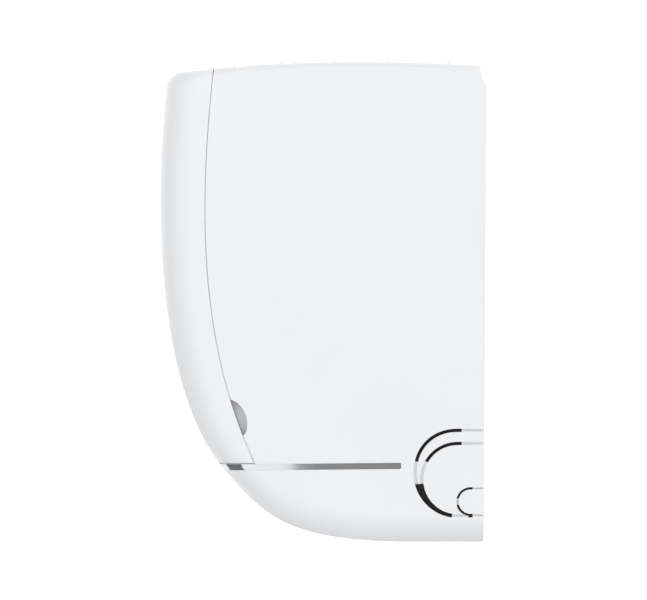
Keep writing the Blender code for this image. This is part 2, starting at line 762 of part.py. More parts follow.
def electrics(looks):
    """The pieces in and on the control box, the display, and the coil's sensor."""
    cover_start = BOX_HIGH[0] + FIT
    cover_end = cover_start + BOX_WALL
    block("control_box_cover", (cover_start, *BOX_LOW[1:]), (cover_end, *BOX_HIGH[1:]), looks["steel"])
    block("main_board", (346, 46, 70), (347.6, 132, 208), looks["board"])
    block("terminal_block", (348, 98, 76), (366, 130, 104), looks["dark"])
    block("display_board", (296, 177, 112), (344, 183, 130), looks["board"])
    rod("coil_sensor", (269, 163, 119), (282, 163, 119), 2, 8, looks["copper"])


def auto_button(look, pivot):
    x, up = BUTTON_PLACE
    return rod("auto_button", (x, 164, up), (x, 175, up), BUTTON_RADIUS, 14, look, pivot)


def case_screw(number, x, look):
    """A screw through the filter frame into the drain pan's boss."""
    screw = rod(f"case_screw_{number}", (x, 148.5, SCREW_UP), (x, 162.5, SCREW_UP), 1.9, 8, look)
    return join(screw, rod("screw_head", (x, 162.1, SCREW_UP), (x, 163.7, SCREW_UP), 3.2, 12, look))


# ---------------------------------------------------------------- filters, louvre and vanes


def filter_net(side, ends, look, pivot):
    """A curved net frame that lies on the filter frame, with a grip at its foot."""
    line = frame_line()[3:-1]
    face = offset(line, -FILTER_GAP)
    net = prism(f"filter_{side}", band(face, -FILTER_THICK), *ends, look, pivot)
    middle = sum(ends) / 2
    foot = face[0]
    low, high = (middle - 20, foot[0] + 0.5, foot[1] - 6), (middle + 20, foot[0] + 2.3, foot[1] + 3)
    return join(net, block("filter_grip", low, high, look))


def louvre(look, pivot):
    """The flap that closes the outlet, with a lug at each end on its axis."""
    steps = 9
    start, end = LOUVRE_SPAN
    skin = [tuple(along(UNDER_CURVE, start + (end - start) * step / steps)) for step in range(steps + 1)]
    flap = prism("louvre", band(skin, -3), -LOUVRE_HALF, LOUVRE_HALF, look, pivot)
    lug = [(92, 5.6), (98, 17.5), (101, 19.6), (104, 20.2), (107, 19.6), (110, 17.5), (118, 12)]
    for side in (-1, 1):
        ends = sorted((side * (LOUVRE_HALF - 3.3), side * (LOUVRE_HALF - 0.3)))
        join(flap, prism("louvre_lug", lug, *ends, look))
        hole = axle("lug_hole", ends[0] - 2, ends[1] + 2, LOUVRE_AXIS, 2.8, 12, look)
        cut(flap, hole)
    return flap


def louvre_motor(look):
    centre = (LOUVRE_AXIS[0], LOUVRE_AXIS[1] + 8)
    start = OUTLET_HALF + 3.5
    motor = axle("louvre_motor", start, start + 12, centre, 14, 20, look)
    return join(motor, axle("louvre_shaft", start + 2, LOUVRE_HALF - 4, LOUVRE_AXIS, 2.5, 10, look))


def louvre_bush(look):
    start = -OUTLET_HALF + 0.8
    bush = axle("louvre_bush", start, start - 12, LOUVRE_AXIS, 6, 14, look)
    return join(bush, axle("bush_pin", start - 2, -LOUVRE_HALF + 4, LOUVRE_AXIS, 2.5, 10, look))


def in_duct(across, level):
    """(out, up) of a place in the outlet duct: across it from the volute, and up from the louvre."""
    base = Vector(LOUVRE_AXIS)
    return tuple(base + Vector(CHORD) * across - Vector(FLOW) * level)


def vane(name, x, look, pivot):
    """An upright vane, notched for its link rod, with a pin at the volute side."""
    low, high = VANE_PIVOT - VANE_SWING, VANE_PIVOT + VANE_SWING + 1
    notch = VANE_PIVOT + ROD_REACH - 2.6
    corners = [(-10, low + 3), (-7, low), (34, low), (40, low + 6), (40, high), (11.9, high), (11.9, notch),
               (8.1, notch), (8.1, high), (-7, high), (-10, high - 3)]
    blade = prism(name, [in_duct(*corner) for corner in corners], x - 0.75, x + 0.75, look, pivot)
    pin = rod("vane_pin", (x, *in_duct(-9, VANE_PIVOT)), (x, *in_duct(-24, VANE_PIVOT)), 1.5, 8, look)
    return join(blade, pin)


def vane_rail(side, start, look):
    """The strip on the volute that the vanes' pins turn in."""
    corners = [(-25.2, 29), (-19.5, 29), (-19.5, 39), (-25.2, 39)]
    length = (VANES_PER_BANK - 1) * VANE_PITCH
    outline = [in_duct(*corner) for corner in corners]
    rail = prism(f"vane_rail_{side}", outline, start - 8, start + length + 8, look)
    for number in range(VANES_PER_BANK):
        x = start + number * VANE_PITCH
        ends = (x, *in_duct(-27, VANE_PIVOT)), (x, *in_duct(-17, VANE_PIVOT))
        cut(rail, rod("pin_hole", *ends, 1.9, 8, look))
    return rail


def link_rod(side, start, look, pivot):
    """The rod that turns the vanes of one bank together."""
    corners = [(8.5, -1.2), (11.5, -1.2), (11.5, 1.2), (8.5, 1.2)]
    outline = [in_duct(across, VANE_PIVOT + ROD_REACH + level) for across, level in corners]
    length = (VANES_PER_BANK - 1) * VANE_PITCH
    return prism(f"link_rod_{side}", outline, start - 9, start + length + 9, look, pivot)


def vanes(looks):
    """Both banks of vanes, each with its rail and link rod."""
    for side, start in VANE_BANKS.items():
        for number in range(VANES_PER_BANK):
            x = start + number * VANE_PITCH
            pivot = at(x, *in_duct(10, VANE_PIVOT))
            vane(f"vane_{side}_{number + 1}", x, looks["pale"], pivot)
        vane_rail(side, start, looks["pale"])
        link_rod(side, start, looks["pale"], at(start, *in_duct(10, VANE_PIVOT + ROD_REACH)))


# ---------------------------------------------------------------- assembly


def make_looks():
    return {
        "white": material("case_white", (0.86, 0.87, 0.88), 0.42),
        "bright": material("bright_trim", (0.62, 0.63, 0.64), 0.15, 1.0),
        "pale": material("pale_plastic", (0.74, 0.75, 0.76), 0.5),
        "steel": material("zinc_steel", (0.55, 0.56, 0.57), 0.4, 1.0),
        "fins": material("fin_aluminium", (0.7, 0.71, 0.72), 0.35, 1.0),
        "copper": material("copper_tube", (0.72, 0.36, 0.22), 0.3, 1.0),
        "brass": material("brass_nut", (0.7, 0.52, 0.24), 0.3, 1.0),
        "dark": material("dark_plastic", (0.05, 0.05, 0.055), 0.5),
        "rubber": material("black_rubber", (0.03, 0.03, 0.03), 0.8),
        "board": material("circuit_board", (0.04, 0.16, 0.08), 0.4),
        "net": material("filter_net", (0.2, 0.3, 0.42), 0.6),
    }


def fixed_pieces(looks):
    outer_case(looks["white"])
    trim_strip(looks["bright"])
    wall_plate(looks["steel"])
    rear_chassis(looks["pale"])
    drain_pan(looks["pale"])
    drain_spigot(looks["pale"])
    drain_plug(looks["rubber"])
    fan_motor(looks["steel"])
    motor_clamp(looks["steel"])
    fan_bearing_mount(looks["pale"])
    for slab in COIL_SLABS:
        coil_fins(slab, looks["fins"])
        coil_tube(slab, looks["copper"])
    refrigerant_pipe("gas_pipe", GAS_PIPE, GAS_RADIUS, 206, looks["copper"])
    refrigerant_pipe("liquid_pipe", LIQUID_PIPE, LIQUID_RADIUS, 192, looks["copper"])
    flare_nut("gas_flare_nut", GAS_PIPE, 9, looks["brass"])
    flare_nut("liquid_flare_nut", LIQUID_PIPE, 7, looks["brass"])
    pipe_clamp(looks["dark"])
    control_box(looks["steel"])
    electrics(looks)
    for number, x in enumerate(SCREW_PLACES, 1):
        case_screw(number, x, looks["steel"])
    louvre_motor(looks["pale"])
    louvre_bush(looks["pale"])


def moving_pieces(looks):
    hinge = at(0, *HINGE)
    front_panel(looks["white"], hinge)
    for side, x in ARM_PLACES.items():
        panel_arm(side, x, looks["white"], hinge)
    crossflow_fan(looks["dark"], at(0, *FAN_CENTRE))
    for side, ends in FILTER_SPANS.items():
        filter_net(side, ends, looks["net"], at(sum(ends) / 2, *frame_line()[3]))
    louvre(looks["white"], at(0, *LOUVRE_AXIS))
    auto_button(looks["pale"], at(BUTTON_PLACE[0], 175, BUTTON_PLACE[1]))
    vanes(looks)


def main():
    clear_scene()
    looks = make_looks()
    fixed_pieces(looks)
    moving_pieces(looks)


main()
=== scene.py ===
"""Looks of a wall air conditioner's indoor unit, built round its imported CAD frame.

Sizes here are in millimetres and become metres in at(). A place is (x, out, up): the distance along
the unit to the right, out from the wall, and up from the underside.
"""

import json
import math

import bmesh
import bpy
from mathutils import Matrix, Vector
from mathutils.geometry import interpolate_bezier


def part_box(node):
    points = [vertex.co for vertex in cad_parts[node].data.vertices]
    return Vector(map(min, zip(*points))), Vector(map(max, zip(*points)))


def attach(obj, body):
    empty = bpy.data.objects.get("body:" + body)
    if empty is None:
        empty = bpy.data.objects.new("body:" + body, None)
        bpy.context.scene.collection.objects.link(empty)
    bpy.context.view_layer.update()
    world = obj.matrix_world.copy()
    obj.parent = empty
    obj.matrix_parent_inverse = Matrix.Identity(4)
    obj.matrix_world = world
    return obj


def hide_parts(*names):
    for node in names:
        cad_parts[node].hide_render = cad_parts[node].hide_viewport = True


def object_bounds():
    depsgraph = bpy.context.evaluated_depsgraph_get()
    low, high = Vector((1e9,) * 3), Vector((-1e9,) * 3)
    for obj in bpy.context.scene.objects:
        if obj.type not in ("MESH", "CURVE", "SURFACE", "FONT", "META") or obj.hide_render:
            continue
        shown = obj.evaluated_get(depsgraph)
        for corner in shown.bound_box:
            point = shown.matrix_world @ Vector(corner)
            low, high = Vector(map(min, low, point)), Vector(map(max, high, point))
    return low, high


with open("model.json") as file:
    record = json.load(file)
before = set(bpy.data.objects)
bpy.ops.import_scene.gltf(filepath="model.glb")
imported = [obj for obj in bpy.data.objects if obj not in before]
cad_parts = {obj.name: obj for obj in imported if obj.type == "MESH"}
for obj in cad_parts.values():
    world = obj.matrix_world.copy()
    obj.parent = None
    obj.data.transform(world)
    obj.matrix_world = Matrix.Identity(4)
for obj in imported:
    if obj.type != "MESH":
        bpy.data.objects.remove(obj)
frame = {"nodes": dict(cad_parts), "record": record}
cad_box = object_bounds()

MM = 0.001
CASE_LOW, CASE_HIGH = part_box("outer_case")
UNDERSIDE = CASE_LOW.z / MM
END = CASE_HIGH.x / MM
ABOVE = (cad_box[1].z - CASE_LOW.z) / MM + 12
AHEAD = -cad_box[0].y / MM + 12

# The casing's section and its flat end, as cubic curves in (out, up): top, corner, front and
# underside.
TOP_CURVE = ((4.2, 287.4), (64.2, 290.8), (121, 291), (181.8, 283.7))
CORNER_CURVE = ((181.8, 283.7), (188.5, 283.1), (192.8, 279.5), (193.2, 273))
FRONT_CURVE = ((193.2, 273), (204, 167.3), (190.1, 80.4), (158, 43.6))
UNDER_CURVE = ((158, 43.6), (134.3, 16.4), (121.4, 0), (44.6, 0))
BACK_POINTS = ((1.8, 0), (0, 273.6))
END_TOP_CURVE = ((4.1, 283.2), (62, 286.6), (116, 286.8), (163, 280.6))
END_CORNER_CURVE = ((163, 280.6), (168.7, 279.9), (172.6, 276.4), (173.2, 270))
END_FRONT_CURVE = ((173.2, 270), (184, 167), (171.6, 86.5), (143.7, 56.2))
END_UNDER_CURVE = ((143.7, 56.2), (126.6, 36.6), (112, 16.5), (44.6, 16.5))
END_BACK_POINTS = ((1.7, 16.5), (0, 273.4))
OUTLINE_STEPS = (30, 12, 52, 44)
END_ROUNDING = 22
END_RINGS = 18
WALL = 2.5

PARTING_CURVE = ((163.9, 285.6), (171.1, 218.2), (176.7, 126.3), (138.9, 47.4))
PARTING_STEPS = 40
PARTING_FOOT = 0.995
PANEL_EDGE = 0.3
CASE_EDGE = -0.2
PANEL_BOTTOM = 47.9
CASE_SHOULDER = 47.45
STRIP_BOTTOM = 43.9
STRIP_TOP = 47.5
STRIP_BACK = 51.6
PAST_FRONT = 230
STRIP_THICK = 1.2
STRIP_CORNER = 0.8
STRIP_RISE = 0.95
STRIP_RUN = 106.4
STRIP_LEVEL = 126
GROOVE_DEPTH = 1.5
CROWN_BACK = 95
CROWN_FRONT = 137
CROWN_LEAN = 5
GROOVE_FIT = 0.06
HINGE = (153, 282)
ARM_PLACES = (-250, 250)

RIB_OUTS = (151.9, 123.7, 92.2, 59.5, 22.7)
PANEL_RIB_OUT = 166.6
RIB_RADIUS = 1.4
RIB_HALF = 384
FRAME_CURVE = ((156.5, 44), (190, 120), (180, 225), (113, 268))
FRAME_THICK = 2
FRAME_HALF = 383
OUTLET_SPAN = (0.073, 0.785)
OUTLET_HALF = 372
LOUVRE_AXIS = (104, 15)
SCREW_PLACES = (-330, -30, 270)
SCREW_UP = 61
BUTTON_PLACE = (330, 90)
LIP_DEPTH = 0.55
LIP_CLEAR = 0.2
LIP_WIDTH = 0.9
SLOT_DEPTH = 6
WEB_DEPTH = 2.1
SQUARING = 2.15

FAN_CENTRE = (88, 115)
FAN_RADIUS = 46
FAN_ENDS = (-340, 278)
FAN_DISCS = 8
DISC_THICK = 2.4
DISC_BORE = 35.4
DISC_SIDES = 96
BLADES = 35
COIL_ENDS = (-343, 268)
COIL_THICK = 22
COIL_SLABS = {
    "front": ((150, 82), (158, 158)),
    "upper": ((151, 172), (99, 256)),
    "rear": ((78, 254), (34, 196)),
}
FIN_PITCH = 2.2
FIN_THICK = 0.28
END_PLATE_THICK = 1.2
FILTER_GAP = 3
FILTER_THICK = 2.5
FILTER_SPANS = {"left": (-345, -36), "right": (-30, 274)}
NET_PITCH = 3.6
THREAD = 0.24
NET_BARS = 4
NET_BAR_WIDTH = 2.4
LOUVRE_SPAN = (0.088, 0.768)
LOUVRE_HALF = 370.5
HOOK_PLACES = (-200, 200)


def at(x, out, up):
    return Vector((x, -out, up + UNDERSIDE)) * MM


# ---------------------------------------------------------------- shapes


def bezier(curve, steps):
    knots = [Vector(point) for point in curve]
    return [tuple(point) for point in interpolate_bezier(*knots, steps + 1)]


def along(curve, t):
    a, b, c, d = (Vector(point) for point in curve)
    s = 1 - t
    return a * s**3 + b * 3 * s * s * t + c * 3 * s * t * t + d * t**3


def arc(centre, radius, start, end, steps):
    angles = [math.radians(start + (end - start) * step / steps) for step in range(steps + 1)]
    return [(centre[0] + radius * math.cos(a), centre[1] + radius * math.sin(a)) for a in angles]


def circle(centre, radius, sides):
    return arc(centre, radius, 0, 360 * (sides - 1) / sides, sides - 1)


def offset(outline, distance):
    """The points of an open outline, moved to their left by distance, or right if negative."""
    moved = []
    for index, point in enumerate(outline):
        before = Vector(outline[max(index - 1, 0)])
        after = Vector(outline[min(index + 1, len(outline) - 1)])
        direction = (after - before).normalized()
        moved.append((point[0] - direction.y * distance, point[1] + direction.x * distance))
    return moved


def band(line, thickness):
    return list(line) + offset(line, thickness)[::-1]


def box_outline(low, high):
    return [(low[0], low[1]), (high[0], low[1]), (high[0], high[1]), (low[0], high[1])]


def made(name, bm):
    bmesh.ops.recalc_face_normals(bm, faces=bm.faces)
    mesh = bpy.data.meshes.new(name)
    bm.to_mesh(mesh)
    bm.free()
    thing = bpy.data.objects.new(name, mesh)
    bpy.context.scene.collection.objects.link(thing)
    return thing


def add_loft(bm, rings):
    """A closed body through rings of the same number of points, with flat ends."""
    loops = [[bm.verts.new(point) for point in ring] for ring in rings]
    for first, second in zip(loops, loops[1:]):
        for index in range(len(first)):
            following = (index + 1) % len(first)
            bm.faces.new((first[index], first[following], second[following], second[index]))
    bm.faces.new(loops[0][::-1])
    bm.faces.new(loops[-1])


def loft(name, rings):
    bm = bmesh.new()
    add_loft(bm, rings)
    return made(name, bm)


def prism_rings(outline, x_start, x_end):
    return [[at(x, *point) for point in outline] for x in (x_start, x_end)]


def prism(name, outline, x_start, x_end):
    return loft(name, prism_rings(outline, x_start, x_end))


def prisms(name, specs):
    """Several separate prisms in one object; specs holds (outline, x_start, x_end)."""
    bm = bmesh.new()
    for outline, x_start, x_end in specs:
        add_loft(bm, prism_rings(outline, x_start, x_end))
    return made(name, bm)


def block(name, low, high):
    return prism(name, box_outline(low[1:], high[1:]), low[0], high[0])


def blocks(name, corners):
    specs = [(box_outline(low[1:], high[1:]), low[0], high[0]) for low, high in corners]
    return prisms(name, specs)


def rod_rings(start, end, radii, sides):
    """Rings of a turned shape; radii holds (share of the way, radius)."""
    base, tip = at(*start), at(*end)
    turn = (tip - base).to_track_quat("Z", "Y")
    angles = [2 * math.pi * side / sides for side in range(sides)]
    rim = [turn @ Vector((math.cos(a), math.sin(a), 0)) for a in angles]
    rings = []
    for share, radius in radii:
        rings.append([base.lerp(tip, share) + point * radius * MM for point in rim])
    return rings


def rods(name, specs, sides=24):
    """Several cylinders in one object; specs holds (start, end, radius)."""
    bm = bmesh.new()
    for start, end, radius in specs:
        add_loft(bm, rod_rings(start, end, ((0, radius), (1, radius)), sides))
    return made(name, bm)


def combine(thing, helper, operation):
    """Applies a Boolean with helper and removes the helper."""
    modifier = thing.modifiers.new("join", "BOOLEAN")
    modifier.operation = operation
    modifier.solver = "EXACT"
    modifier.object = helper
    settle(thing)
    bpy.data.objects.remove(helper, do_unlink=True)
    return thing


def settle(thing):
    """Applies every modifier of a piece."""
    graph = bpy.context.evaluated_depsgraph_get()
    mesh = bpy.data.meshes.new_from_object(thing.evaluated_get(graph))
    thing.modifiers.clear()
    old = thing.data
    thing.data = mesh
    bpy.data.meshes.remove(old)
    return thing


def cut(thing, *helpers):
    for helper in helpers:
        combine(thing, helper, "DIFFERENCE")
    return thing


def join(thing, *helpers):
    for helper in helpers:
        combine(thing, helper, "UNION")
    return thing


def smooth(thing, degrees=32):
    """Smooth shading with sharp edges kept and flat faces held flat."""
    thing.data.shade_smooth()
    thing.data.set_sharp_from_angle(angle=math.radians(degrees))
    weighted = thing.modifiers.new("weighted", "WEIGHTED_NORMAL")
    weighted.keep_sharp = True
    return settle(thing)


def piece(thing, body, slot, look, *replaced):
    """Hands a finished piece to its body, with its look and the CAD nodes that it stands for."""
    thing.data.materials.clear()
    thing.data.materials.append(look)
    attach(thing, body)
    if replaced:
        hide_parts(*replaced)
    return thing


# ---------------------------------------------------------------- materials


class Look:
    """A Principled material with helpers for its procedural nodes."""

    def __init__(self, name, color, roughness, metallic=0.0):
        self.material = bpy.data.materials.new(name)
        self.material.use_nodes = True
        self.tree = self.material.node_tree
        self.shader = self.tree.nodes["Principled BSDF"]
        self.shader.inputs["Base Color"].default_value = (*color, 1)
        self.shader.inputs["Roughness"].default_value = roughness
        self.shader.inputs["Metallic"].default_value = metallic
        self.place = self.tree.nodes.new("ShaderNodeTexCoord").outputs["Object"]
        self.height = None

    def node(self, kind, **values):
        made_node = self.tree.nodes.new(kind)
        for key, value in values.items():
            made_node.inputs[key].default_value = value
        return made_node

    def stretched(self, scale):
        """Object coordinates, in metres, stretched by a factor along each axis."""
        mapping = self.node("ShaderNodeMapping", Scale=scale)
        self.tree.links.new(self.place, mapping.inputs["Vector"])
        return mapping.outputs["Vector"]

    def noise(self, size_mm, detail=3.0, stretch=(1, 1, 1)):
        made_node = self.node("ShaderNodeTexNoise", Scale=1.0, Detail=detail)
        scale = tuple(factor / (size_mm * MM) for factor in stretch)
        self.tree.links.new(self.stretched(scale), made_node.inputs["Vector"])
        return made_node.outputs["Fac"]

    def ramp(self, source, stops):
        ramp = self.tree.nodes.new("ShaderNodeValToRGB")
        while len(ramp.color_ramp.elements) < len(stops):
            ramp.color_ramp.elements.new(0.5)
        for element, (position, color) in zip(ramp.color_ramp.elements, stops):
            element.position = position
            element.color = (*color, 1)
        self.tree.links.new(source, ramp.inputs["Fac"])
        return ramp.outputs["Color"]

    def tint(self, source, low, high, start=0.35, end=0.65):
        color = self.ramp(source, ((start, low), (end, high)))
        self.tree.links.new(color, self.shader.inputs["Base Color"])

    def shine(self, source, low, high):
        scaled = self.node("ShaderNodeMapRange")
        scaled.inputs["From Min"].default_value = 0.3
        scaled.inputs["From Max"].default_value = 0.7
        scaled.inputs["To Min"].default_value = low
        scaled.inputs["To Max"].default_value = high
        self.tree.links.new(source, scaled.inputs["Value"])
        self.tree.links.new(scaled.outputs["Result"], self.shader.inputs["Roughness"])

    def bump(self, source, strength, distance_mm):
        node = self.node("ShaderNodeBump", Strength=strength, Distance=distance_mm * MM)
        self.tree.links.new(source, node.inputs["Height"])
        if self.height is not None:
            self.tree.links.new(self.height, node.inputs["Normal"])
        self.height = node.outputs["Normal"]
        self.tree.links.new(self.height, self.shader.inputs["Normal"])


def plastic(name, color, roughness, grain_mm=0.45, grain=0.12, vary=0.012):
    """Moulded plastic: a fine spark-eroded grain, and a slow change of tone and of gloss."""
    look = Look(name, color, roughness)
    dull = tuple(value - vary for value in color)
    look.tint(look.noise(60, 4), dull, color)
    look.shine(look.noise(70, 2), roughness - 0.02, roughness + 0.02)
    look.bump(look.noise(grain_mm, 2), grain, 0.03)
    return look.material


def chrome(name):
    """Plated plastic: bright, with a slow change of tone and fine lengthwise polishing lines."""
    look = Look(name, (0.535, 0.543, 0.551), 0.09, 1.0)
    look.tint(look.noise(12, 3, (0.15, 1, 1)), (0.525, 0.537, 0.545), (0.545, 0.551, 0.559))
    look.shine(look.noise(1.5, 3, (0.05, 0.05, 1)), 0.06, 0.11)
    look.bump(look.noise(0.5, 2, (0.02, 0.02, 1)), 0.012, 0.02)
    return look.material


def zinc(name):
    """Galvanised sheet, with its spangle."""
    look = Look(name, (0.56, 0.57, 0.58), 0.42, 1.0)
    cells = look.node("ShaderNodeTexVoronoi", Scale=1.0)
    look.tree.links.new(look.stretched((1 / 0.007,) * 3), cells.inputs["Vector"])
    look.tint(cells.outputs["Color"], (0.53, 0.54, 0.56), (0.6, 0.61, 0.62), 0.1, 0.9)
    look.shine(look.noise(6, 4), 0.32, 0.5)
    look.bump(look.noise(1.6, 3), 0.08, 0.05)
    return look.material


def aluminium(name):
    look = Look(name, (0.74, 0.76, 0.78), 0.34, 1.0)
    look.tint(look.noise(14, 3), (0.66, 0.69, 0.72), (0.8, 0.82, 0.83))
    look.shine(look.noise(3, 3), 0.26, 0.42)
    look.bump(look.noise(0.8, 3, (1, 1, 0.2)), 0.1, 0.03)
    return look.material


def drawn_metal(name, dark, bright, roughness):
    """Copper or brass, with drawing marks along it and darker patches of tarnish."""
    look = Look(name, bright, roughness, 1.0)
    look.tint(look.noise(11, 4), dark, bright, 0.25, 0.6)
    look.shine(look.noise(2.5, 3, (0.2, 1, 1)), roughness - 0.08, roughness + 0.12)
    look.bump(look.noise(0.7, 2, (0.1, 1, 1)), 0.08, 0.03)
    return look.material


# A black sheet material with a foam-like grain. It serves only as painted shade behind the
# knock-outs.
def shade_backing(name):
    look = Look(name, (0.012, 0.012, 0.013), 0.95)
    look.tint(look.noise(2.2, 3), (0.006, 0.006, 0.007), (0.02, 0.02, 0.021))
    look.bump(look.noise(0.9, 3), 0.5, 0.4)
    return look.material


def board_green(name):
    look = Look(name, (0.03, 0.16, 0.07), 0.35)
    look.tint(look.noise(4, 2, (1, 1, 1)), (0.02, 0.13, 0.055), (0.04, 0.19, 0.09))
    look.bump(look.noise(1.2, 1), 0.2, 0.05)
    return look.material


LOOKS = {
    "case_plastic": plastic("case_plastic_look", (0.88, 0.89, 0.905), 0.36),
    "panel": plastic("panel_look", (0.885, 0.895, 0.91), 0.3, 0.35, 0.06),
    "bright_trim": chrome("bright_trim_look"),
    "duct_plastic": plastic("duct_plastic_look", (0.78, 0.79, 0.8), 0.46, 0.7, 0.2, 0.03),
    "zinc_steel": zinc("zinc_steel_look"),
    "fin_aluminium": aluminium("fin_aluminium_look"),
    "copper_tube": drawn_metal("copper_tube_look", (0.46, 0.2, 0.11), (0.78, 0.42, 0.27), 0.3),
    "brass_nut": drawn_metal("brass_nut_look", (0.5, 0.36, 0.15), (0.76, 0.58, 0.28), 0.26),
    "dark_plastic": plastic("dark_plastic_look", (0.045, 0.045, 0.05), 0.5, 0.6, 0.25, 0.012),
    "black_rubber": plastic("black_rubber_look", (0.03, 0.03, 0.03), 0.8, 0.9, 0.3, 0.008),
    "circuit_board": board_green("circuit_board_look"),
    "filter_net": plastic("filter_net_look", (0.16, 0.24, 0.36), 0.6, 0.5, 0.3, 0.03),
    "net_thread": plastic("net_thread_look", (0.30, 0.33, 0.37), 0.6, 0.5, 0.2, 0.03),
    # Black sheet material, used as painted shade behind the knock-outs.
    "shade_backing": shade_backing("shade_backing_look"),
}


# ---------------------------------------------------------------- casing


def casing_line(curves, back):
    line = list(back) + bezier(curves[0], OUTLINE_STEPS[0])
    for curve, count in zip(curves[1:], OUTLINE_STEPS[1:]):
        line += bezier(curve, count)[1:]
    return line


def inset_outline(line, inset):
    return offset([line[-1]] + line + [line[0]], -inset)[1:-1]


def open_back(line, inset, low):
    """Carries an inner outline out through the back, below the bevelled top rear corner."""
    return [(-6, low), (-6, 272.5), (inset, 272.5)] + line[2:]


def casing_body(name, inset, through_back=True):
    """The casing as one solid, rounded into its ends, with its faces drawn in by inset."""
    section = casing_line((TOP_CURVE, CORNER_CURVE, FRONT_CURVE, UNDER_CURVE), BACK_POINTS)
    curves = (END_TOP_CURVE, END_CORNER_CURVE, END_FRONT_CURVE, END_UNDER_CURVE)
    flat_end = casing_line(curves, END_BACK_POINTS)
    if inset:
        section, flat_end = inset_outline(section, inset), inset_outline(flat_end, inset)
    if inset and through_back:
        section = open_back(section, inset, inset)
        flat_end = open_back(flat_end, inset, END_BACK_POINTS[0][1] + inset)
    stations = []
    for ring in range(END_RINGS):
        angle = math.pi / 2 * ring / (END_RINGS - 1)
        drop = (END_ROUNDING - inset) * (1 - math.cos(angle))
        stations.append((END - inset - drop, math.sin(angle)))
    rings = []
    for x, share in [(-x, share) for x, share in stations] + stations[::-1]:
        rings.append([at(x, *Vector(a).lerp(Vector(b), share)) for a, b in zip(flat_end, section)])
    return loft(name, rings)


def full_length(name, outline):
    return prism(name, outline, -END - 5, END + 5)


def panel_zone(name, gap, bottom):
    """Everything in front of the parting line by more than gap, and above bottom."""
    line = [(out + gap, up) for out, up in bezier(PARTING_CURVE, PARTING_STEPS) if up > bottom]
    foot = along(PARTING_CURVE, PARTING_FOOT).x + gap
    line += [(foot, bottom), (AHEAD, bottom), (AHEAD, ABOVE), (line[0][0], ABOVE)]
    return full_length(name, line)


def strip_outline(gap):
    """The strip's section, grown by gap. It rises a little towards its rear end."""
    rise = STRIP_RISE / STRIP_RUN
    half = (STRIP_TOP - STRIP_BOTTOM) / 2 + gap
    middle = (STRIP_TOP + STRIP_BOTTOM) / 2
    ahead = middle - (PAST_FRONT - STRIP_LEVEL) * rise
    behind = middle + (STRIP_LEVEL - STRIP_BACK) * rise
    corner = STRIP_CORNER + gap
    inset = STRIP_BACK - gap + corner
    below = arc((inset, behind - half + corner), corner, 270, 180, 8)
    above = arc((inset, behind + half - corner), corner, 180, 90, 8)
    return [(PAST_FRONT, ahead + half), (PAST_FRONT, ahead - half)] + below + above


def groove_cutter():
    groove = full_length("groove", strip_outline(GROOVE_FIT))
    return cut(groove, casing_body("groove_bottom", GROOVE_DEPTH))


def outlet_cutter():
    """The slot that the air leaves by, cut square to the skin at its front and rear edges."""
    corners = []
    for t in OUTLET_SPAN:
        edge = along(UNDER_CURVE, t)
        direction = (along(UNDER_CURVE, t + 0.02) - edge).normalized()
        outward = Vector((-direction.y, direction.x)) * 7
        corners.append((tuple(edge + outward), tuple(edge - outward)))
    (front_outer, front_inner), (rear_outer, rear_inner) = corners
    outline = [front_outer, (145, -12), rear_outer, rear_inner, front_inner]
    return prism("outlet", outline, -OUTLET_HALF, OUTLET_HALF)


def slot(centre, radius, half, start, end, steps, straight_to=None):
    """A curved slot's outline; straight_to carries its last end straight back towards the wall."""
    outer = arc(centre, radius + half, start, end, steps)
    inner = arc(centre, radius - half, start, end, steps)
    if straight_to is not None:
        outer.append((straight_to, outer[-1][1]))
        inner.append((straight_to, inner[-1][1]))
    return outer + inner[::-1]


def squarer(centre, outline):
    """The outline with its upper front quarter round centre bulged slightly into its corner."""
    bulged = []
    for out, up in outline:
        ahead, above = out - centre[0], up - centre[1]
        if ahead > 0 and above > 0:
            reach = math.hypot(ahead, above)
            share = (ahead / reach) ** SQUARING + (above / reach) ** SQUARING
            ahead, above = (part * share ** (-1 / SQUARING) for part in (ahead, above))
        bulged.append((centre[0] + ahead, centre[1] + above))
    return bulged


def knock_out_outlines():
    """(depth, outline) of the slots round the pipe knock-outs, which stop short at their webs."""
    outer, inner, small = (17.3, 41.9), (17.5, 38.1), (9.8, 24.9)
    half = 1.0
    through = [
        squarer(outer, slot(outer, 25.8, half, 15.7, 90, 24, 15.2)),
        slot(inner, 21.7, half, 29.8, 90, 20, 15.2),
        arc(outer, 25.8 + half, -14.1, -81.8, 24) + arc(inner, 21.7 - half, -80.8, -6.6, 24),
        slot(small, 8, 0.68, 14, 90, 12, 8.6),
        slot(small, 8, 0.68, -14, -80, 12),
        box_outline((8.6, 15.4), (11.2, 17.6)),
    ]
    webs = [
        squarer(outer, slot(outer, 25.8, half, -16, 18, 10)),
        slot(inner, 21.7, half, -9, 33, 10),
        slot(small, 8, 0.68, -17, 17, 6),
        box_outline((11.0, 15.8), (21.4, 17.2)),
        box_outline((-1, 66.9), (16, 68.5)),
        box_outline((-1, 59.0), (16, 60.6)),
        box_outline((-1, 32.4), (9.2, 33.4)),
        box_outline((-1, 16.2), (8.8, 17.2)),
    ]
    outlines = [(SLOT_DEPTH, outline) for outline in through]
    return outlines + [(WEB_DEPTH, outline) for outline in webs]


def both_ends(name, outline, inner, outer):
    """The same prism at each end, between two distances from the middle."""
    return prisms(name, [(outline, -outer, -inner), (outline, inner, outer)])


def notch_outline():
    """The half-moon beside the parting line, as a smooth curve between its given corners."""
    upper = bezier(((157, 86), (149.5, 86.8), (145.8, 80.5), (144.4, 75.5)), 12)
    lower = bezier(((144.4, 75.5), (143, 70.5), (143.6, 62.6), (151, 63.4)), 12)
    return upper + lower[1:]


